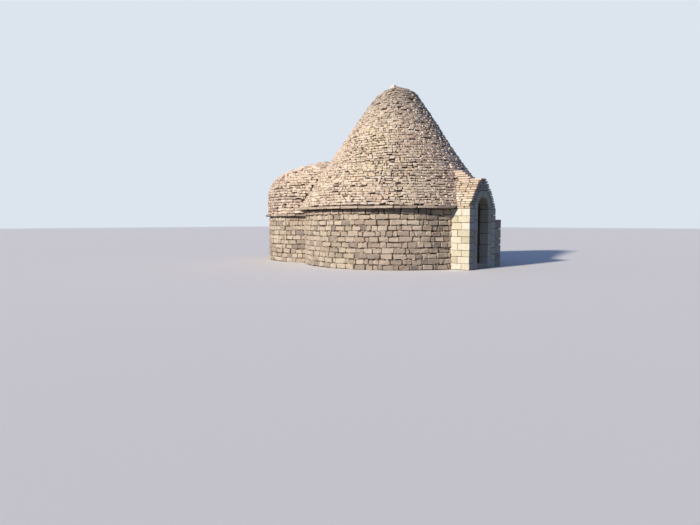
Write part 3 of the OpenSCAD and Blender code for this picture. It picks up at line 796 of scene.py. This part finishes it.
wallBlocks = {
    "length": 0.27, "spread": 0.6, "thick": (0.84, 1.02), "depth": 0.24, "set": (-0.004, 0.02),
    "yaw": 0.05, "fall": 0.0, "sway": 0.02, "joint": (0.0, 0.014), "bed": 0.0, "wave": 0.012,
    "rows": 11, "alcoveRows": 10, "setBack": 0.015, "intoAlcove": 0.35, "intoPorch": 0.14, "intoWall": 0.2,
    "seed": 41,
}
pinning = dict(wallBlocks, length=0.13, spread=0.5, depth=0.12, set=(0.022, 0.04), thick=(0.4, 0.8),
               joint=(0.02, 0.05), yaw=0.3, sway=0.1, missing=0.25, row=0.05)


# The rows of one round wall, with small pinning stones wedged over every bed joint
def layWall(bm, rng, centre, radius, top, rows, skip):
    height = top / rows
    for row in range(rows):
        face = radius - (wallBlocks["setBack"] if row % 2 else 0)
        layRing(bm, rng, blocks, wallBlocks, centre, face, row * height, height, skip)
        if row:
            low = row * height - pinning["row"] / 2
            layRing(bm, rng, slabs, pinning, centre, face, low, pinning["row"], skip)
    for vert in bm.verts:
        vert.co.z = max(0, vert.co.z)


def layWalls():
    rng = random.Random(wallBlocks["seed"])
    bm = startPiece()

    def covered(x, y, z):
        inAlcove = insideRound(x, y, alcoveCentre, alcoveEavesRadius - wallBlocks["intoAlcove"])
        return inAlcove or behindPorch(x, y, wallBlocks["intoPorch"])

    layWall(bm, rng, houseCentre, wallRadius, wallTop, wallBlocks["rows"], covered)
    finishPiece("wallBlocks", bm, wallStone, nodes=["wall_front_left"])

    bm = startPiece()

    def inHouse(x, y, z):
        return insideRound(x, y, houseCentre, wallRadius - wallBlocks["intoWall"])

    layWall(bm, rng, alcoveCentre, alcoveWallRadius, alcoveWallHigh.z, wallBlocks["alcoveRows"], inHouse)
    finishPiece("alcoveWallBlocks", bm, wallStone, nodes=["alcove_wall_back"])


layWalls()

pierBlocks = {"rows": 9, "spread": 0.08, "ends": (0.27, 0.40), "inset": 0.01, "intoWall": 0.08, "seed": 51}


# Dressed blocks of the porch's side walls, in courses that break joint at the front corner
def layPiers():
    rng = random.Random(pierBlocks["seed"])
    bm = startPiece()
    for side in (-1, 1):
        outer = porchX + side * porchHalf
        inner = porchX + side * (archOuter + pierBlocks["inset"])
        left, right = sorted((outer, inner))
        back = frontOf(wallRadius, outer) + pierBlocks["intoWall"]
        rows = list(splitRow(rng, porchEaves, porchEaves / pierBlocks["rows"], pierBlocks["spread"]))
        for number, (start, height) in enumerate(rows):
            low = start + cutJoints["bed"]
            corner = porchFront + pierBlocks["ends"][number % 2]
            addBlock(bm, rng, dressed, (left, porchFront, low), (right, corner, start + height))
            addBlock(bm, rng, dressed, (left, corner, low), (right, back, start + height))
    finishPiece("porchPierBlocks", bm, porchStone, nodes=["porch_pier_left"])


layPiers()

doorway = {
    "halfWidth": 0.36, "jambHeight": 0.38, "jambSpread": 0.15,
    "archStones": 9, "archJoint": 0.006, "archSetBack": 0.004, "archFlare": 0.02, "seed": 61,
}


# Upright jamb stones
def layJambs(rng):
    bm = startPiece()
    for side in (-1, 1):
        left, right = sorted((porchX + side * doorway["halfWidth"], porchX + side * archOuter))
        for start, height in splitRow(rng, springHeight, doorway["jambHeight"], doorway["jambSpread"]):
            addBlock(bm, rng, dressed, (left, porchFront, start + cutJoints["bed"]),
                     (right, porchFront + frontDepth, start + height))
    finishPiece("jambStones", bm, porchStone, nodes=["door_jamb_stones"])


# The ring of arch stones: each is a block widened at the top and turned to its place
def layArch(rng):
    bm = startPiece()
    step = math.pi / doorway["archStones"]
    width = 2 * doorway["halfWidth"] * math.tan(step / 2) - doorway["archJoint"]
    size = (width, frontDepth - doorway["archSetBack"], archOuter - doorway["halfWidth"])
    middleRadius = (archOuter + doorway["halfWidth"]) / 2
    widening = archOuter / doorway["halfWidth"] + doorway["archFlare"]
    centre = Matrix.Translation((porchX, porchFront + frontDepth / 2, springHeight))
    for number in range(doorway["archStones"]):
        wedge = startPiece()
        addStone(wedge, rng, dressed, Matrix.Translation((0, 0, middleRadius)), size)
        upper = [vert for vert in wedge.verts if vert.co.z > middleRadius]
        bmesh.ops.scale(wedge, vec=(widening, 1, 1), verts=upper)
        turn = Matrix.Rotation((number + 0.5) * step - math.pi / 2, 4, "Y")
        bmesh.ops.transform(wedge, matrix=centre @ turn, verts=wedge.verts)
        mergeInto(bm, wedge)
    finishPiece("archStones", bm, porchStone, nodes=["door_arch"])


doorwayRandom = random.Random(doorway["seed"])
layJambs(doorwayRandom)
layArch(doorwayRandom)

gableStones = {
    "length": 0.24, "spread": 0.4, "depth": 0.24, "corner": (0.20, 0.34), "roofLength": 0.22,
    "archClear": 0.004, "notchHeight": 0.25, "atEdge": 0.001, "intoCone": 0.12, "shift": (-0.004, 0.012),
    "seed": 71,
}


# The gable's front courses, cut short at the arch, and the side courses that run back to the cone
def layPorchRoof():
    rng = random.Random(gableStones["seed"])
    front = startPiece()
    sides = startPiece()
    for course in range(gable["courses"]):
        low = porchEaves + course * gableCourse
        high = low + gableCourse
        half = gableHalf(low)
        over = low - springHeight + gableCourse * gableStones["notchHeight"]
        notch = math.sqrt(archOuter ** 2 - over ** 2) + gableStones["archClear"] if over < archOuter else 0
        corner = gableStones["corner"][course % 2]
        begin = porchFront + corner
        for side in (-1, 1):
            for start, length in splitRow(rng, half - notch, gableStones["length"], gableStones["spread"]):
                near, far = notch + start, notch + start + length
                left, right = sorted((porchX + side * near, porchX + side * far))
                last = start + length > half - notch - gableStones["atEdge"]
                depth = corner if last else gableStones["depth"]
                addBlock(front, rng, blocks, (left, porchFront, low), (right, porchFront + depth, high))
            outer = porchX + side * half
            left, right = sorted((outer, outer - side * min(gableStones["depth"], half)))
            deep = frontOf(coneRadius(low + gableCourse / 2), outer) + gableStones["intoCone"] - begin
            for start, length in splitRow(rng, deep, gableStones["roofLength"], gableStones["spread"]):
                shift = rng.uniform(*gableStones["shift"]) * side
                addBlock(sides, rng, blocks, (left - shift, begin + start, low),
                         (right - shift, begin + start + length, high))
    finishPiece("gableStones", front, porchRoofStone, nodes=["porch_gable"])
    finishPiece("porchRoofStones", sides, porchRoofStone, nodes=["porch_roof_left"])


layPorchRoof()

# Each slab up the ridge starts a step further back and is narrower
ridge = {
    "slabs": 5, "thickness": 0.072, "width": 0.36, "narrowing": 0.03, "first": 0.38, "step": 0.10,
    "length": 0.42, "spread": 0.25, "sway": 0.012, "lap": 0.01, "intoCone": 0.12, "seed": 81,
}


# Long slabs that step up along the ridge to the cone
def layRidge():
    rng = random.Random(ridge["seed"])
    bm = startPiece()
    for number in range(ridge["slabs"]):
        low = gableTop + number * ridge["thickness"]
        half = ridge["width"] / 2 - number * ridge["narrowing"] / 2
        begin = porchFront + (ridge["first"] + (number - 1) * ridge["step"] if number else 0)
        back = -coneRadius(low) + ridge["intoCone"]
        for start, length in splitRow(rng, back - begin, ridge["length"], ridge["spread"]):
            sway = rng.uniform(-ridge["sway"], ridge["sway"])
            end = begin + start + length + ridge["lap"]
            addBlock(bm, rng, flats, (porchX - half + sway, begin + start, low),
                     (porchX + half + sway, end, low + ridge["thickness"]))
    finishPiece("ridgeSlabs", bm, porchRoofStone, nodes=["porch_ridge"])


layRidge()

buttress = {"height": 0.25, "spread": 0.25, "ends": (0.27, 0.18), "joint": 0.008, "seed": 91}


# Two blocks to a course in the stub beside the doorway, which break joint from course to course
def layButtress():
    rng = random.Random(buttress["seed"])
    bm = startPiece()
    low, high = buttressLow, buttressHigh
    for number, (start, height) in enumerate(splitRow(rng, high.z, buttress["height"], buttress["spread"])):
        part = high.y - buttress["ends"][number % 2]
        foot = start + cutJoints["bed"]
        for near, far in ((low.y, part), (part, high.y)):
            addBlock(bm, rng, dressed, (low.x, near, foot), (high.x, far, start + height), buttress["joint"])
    finishPiece("buttressStones", bm, wallStone, nodes=["corner_buttress"])


layButtress()

# Middle and reach are shares of the top's radius, and up is each slab's height over the last course
summit = {
    "slabs": 9, "width": (0.42, 0.52), "turn": 0.1, "middle": 0.55, "reach": 0.85, "up": 0.034,
    "uneven": 0.008, "fall": (-0.07, 0.02), "tilt": 0.07, "out": 0.17, "over": 0.1,
    "size": (0.46, 0.38, 0.062), "seed": 101,
}


# Rough slabs round the top with a tilted one over them
def laySummit(rng):
    bm = startPiece()
    low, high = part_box("summit_slabs")
    radius = (high.x - low.x) / 2
    for number in range(summit["slabs"]):
        angle = math.tau * number / summit["slabs"] + rng.uniform(-summit["turn"], summit["turn"])
        middle = Vector((math.cos(angle), math.sin(angle), 0)) * radius * summit["middle"]
        middle.z = low.z + summit["up"] + rng.uniform(0, summit["uneven"])
        place = (Matrix.Translation(middle) @ Matrix.Rotation(angle - math.pi / 2, 4, "Z")
                 @ Matrix.Rotation(rng.uniform(*summit["fall"]), 4, "X"))
        size = (rng.uniform(*summit["width"]), radius * summit["reach"], summit["size"][2])
        addStone(bm, rng, flats, place, size)
    side = Vector((*lean["toward"], 0))
    over = Matrix.Translation(side * summit["out"] + Vector((0, 0, low.z + summit["over"])))
    turn = Matrix.Rotation(math.atan2(side.y, side.x), 4, "Z")
    addStone(bm, rng, flats, over @ turn @ Matrix.Rotation(summit["tilt"], 4, "Y"), summit["size"])
    for vert in bm.verts:
        vert.co.z -= sunk(vert.co)
    finishPiece("summitSlabs", bm, roofStone, nodes=["summit_slabs"])


# The small white stone on the very top
def layCap(rng):
    bm = startPiece()
    addBlock(bm, rng, blocks, *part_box("cap_stone"), 0)
    finishPiece("capStone", bm, whiteStone, nodes=["cap_stone"])


summitRandom = random.Random(summit["seed"])
laySummit(summitRandom)
layCap(summitRandom)

doorBoards = {"leaf": 5, "arch": 5, "gap": 0.003, "wear": 0.003, "flatAngle": 0.02}


# Cuts a copy of a wooden CAD piece into upright boards with worn edges
def cutBoards(name, node, count, body, material, seed):
    rng = random.Random(seed)
    low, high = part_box(node)
    whole = startPiece()
    width = (high.x - low.x) / count
    for number in range(count):
        board = startPiece()
        board.from_mesh(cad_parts[node].data)
        bmesh.ops.remove_doubles(board, verts=board.verts, dist=weldDistance)
        if number > 0:
            cutAway(board, (low.x + number * width + doorBoards["gap"] / 2, 0, 0), (-1, 0, 0))
        if number < count - 1:
            cutAway(board, (low.x + (number + 1) * width - doorBoards["gap"] / 2, 0, 0), (1, 0, 0))
        bmesh.ops.dissolve_limit(board, angle_limit=doorBoards["flatAngle"], verts=board.verts,
                                 edges=board.edges)
        wearEdges(board, board.edges[:], doorBoards["wear"])
        layer = board.verts.layers.float["tone"]
        tone = rng.random()
        for vert in board.verts:
            vert[layer] = tone
        mergeInto(whole, board)
    finishPiece(name, whole, material, body, [node])


cutBoards("leafBoards", "door_leaf", doorBoards["leaf"], "door", doorOak, seed=111)
cutBoards("archBoards", "door_tympanum", doorBoards["arch"], "house", doorOak, seed=112)

doorNails = {"radius": 0.007, "flat": 0.4, "proud": 0.001, "ledgeWidth": 0.11, "apart": 0.028, "aside": 0.8}


# Nail heads in slanting pairs, where the boards are fixed to the three ledges behind them
def addNails():
    bm = bmesh.new()
    low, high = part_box("door_leaf")
    ledgeLow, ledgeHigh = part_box("door_ledges")
    fromEdge = doorNails["ledgeWidth"] / 2
    heights = (ledgeLow.z + fromEdge, (low.z + high.z) / 2, ledgeHigh.z - fromEdge)
    board = (high.x - low.x) / doorBoards["leaf"]
    flat = Matrix.Diagonal((1, doorNails["flat"], 1, 1))
    for number in range(doorBoards["leaf"]):
        for height in heights:
            for drop in (-doorNails["apart"], doorNails["apart"]):
                x = low.x + (number + 0.5) * board + drop * doorNails["aside"]
                place = Matrix.Translation((x, low.y - doorNails["proud"], height + drop)) @ flat
                bmesh.ops.create_icosphere(bm, subdivisions=1, radius=doorNails["radius"], matrix=place)
    finishPiece("leafNails", bm, iron, "door")


addNails()

# CAD pieces that stay as they are get their materials
nodeMaterials = {
    roomStone: ["vault_lower", "vault_middle", "vault_upper"],
    alcoveStone: ["alcove_vault_left", "alcove_vault_right"],
    vaultStone: ["vault_closing_slab", "passage_vault", "alcove_archway"],
    floorStone: ["floor_room", "floor_alcove"],
    stepStone: ["threshold"],
    doorOak: ["door_frame"],
    ledgeOak: ["door_ledges"],
    iron: ["hinge_straps", "hinge_pintles", "pull_ring"],
}
for material, names in nodeMaterials.items():
    for name in names:
        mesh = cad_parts[name].data
        mesh.materials.clear()
        mesh.materials.append(material)
print("CAD pieces painted")

# Pixels are those of a picture 700 wide, from its middle to the house's axis and to the horizon
view = {
    "axisDistance": 19.0, "towardCamera": (-0.819, -0.574), "eyeHeight": 1.45, "clipEnd": 300,
    "sensorWidth": 36, "imageWidth": 700, "focalPixels": 526, "axisPixelsRight": 45, "horizonPixelsUp": 40.5,
}
towardCamera = Vector((*view["towardCamera"], 0)).normalized()


# The camera stands at eye height, to the left of the porch
def addCamera():
    data = bpy.data.cameras.new("camera")
    data.sensor_width = view["sensorWidth"]
    data.lens = data.sensor_width * view["focalPixels"] / view["imageWidth"]
    data.clip_end = view["clipEnd"]
    camera = addObject("camera", data)
    camera.location = towardCamera * view["axisDistance"] + Vector((0, 0, view["eyeHeight"]))
    yaw = math.atan(view["axisPixelsRight"] / view["focalPixels"])
    pitch = math.atan(view["horizonPixelsUp"] / view["focalPixels"])
    ahead = Matrix.Rotation(yaw, 3, "Z") @ -towardCamera
    ahead = (ahead * math.cos(pitch) - Vector((0, 0, math.sin(pitch)))).normalized()
    camera.rotation_euler = ahead.to_track_quat("-Z", "Y").to_euler()
    bpy.context.scene.camera = camera


addCamera()
print("camera placed")

# Angles are in degrees, and the sun's is turned from the camera's side
studio = {
    "sunAngle": -44, "sunHeight": 27, "sunPower": 3.8, "sunSoftness": 4, "sunColour": "#FFF6EC",
    "skyColour": "#80AAFA", "skyStrength": 0.30, "backColour": "#DCE5EE",
    "floorColour": "#F0ECE5", "floorBounce": "#4C4E50", "floorRoughness": 0.95, "floorSize": 240,
    "floorDrop": 0.002,
}


# Is 1 where the camera, a mirror or a pane looks straight at a surface, and 0 for the rest of the light
def addSeen(tree):
    ray = addNode(tree, "LightPath")
    seen = ray.outputs["Is Camera Ray"]
    for name in ("Is Glossy Ray", "Is Transmission Ray"):
        links = {"Value": seen, "Value_001": ray.outputs[name]}
        seen = addNode(tree, "Math", {"operation": "MAXIMUM"}, links)
    return seen


# One colour for what is seen directly, and a dimmer one for the light that comes back from it
def seenOr(tree, dim, shown):
    settings = {"data_type": "RGBA", "A_Color": dim, "B_Color": shown}
    return addNode(tree, "Mix", settings, {"Factor_Float": addSeen(tree)})


def addFloor():
    bm = bmesh.new()
    bmesh.ops.create_grid(bm, x_segments=1, y_segments=1, size=studio["floorSize"] / 2)
    mesh = meshFrom("studioFloor", bm)
    material, tree, shader, _ = newMaterial("studioFloorPaint", studio["floorRoughness"])
    colour = seenOr(tree, linear(studio["floorBounce"]), linear(studio["floorColour"]))
    linkNode(tree, shader, {"Base Color": colour})
    mesh.materials.append(material)
    floor = addObject("studioFloor", mesh)
    floor.location.z = -studio["floorDrop"]


def addSun():
    lamp = bpy.data.lights.new("sun", "SUN")
    lamp.energy = studio["sunPower"]
    lamp.angle = math.radians(studio["sunSoftness"])
    lamp.color = linear(studio["sunColour"])[:3]
    sun = addObject("sun", lamp)
    flat = Matrix.Rotation(math.radians(studio["sunAngle"]), 3, "Z") @ towardCamera
    height = math.radians(studio["sunHeight"])
    toSun = flat * math.cos(height) + Vector((0, 0, math.sin(height)))
    sun.rotation_euler = toSun.to_track_quat("Z", "Y").to_euler()


def addSky():
    world = bpy.data.worlds.new("paleSky")
    world.use_nodes = True
    tree = world.node_tree
    lit = [value * studio["skyStrength"] for value in linear(studio["skyColour"])[:3]] + [1]
    colour = seenOr(tree, lit, linear(studio["backColour"]))
    linkNode(tree, tree.nodes["Background"], {"Color": colour})
    bpy.context.scene.world = world
    bpy.context.scene.view_settings.view_transform = "Standard"


addFloor()
addSun()
addSky()
print("studio lit")
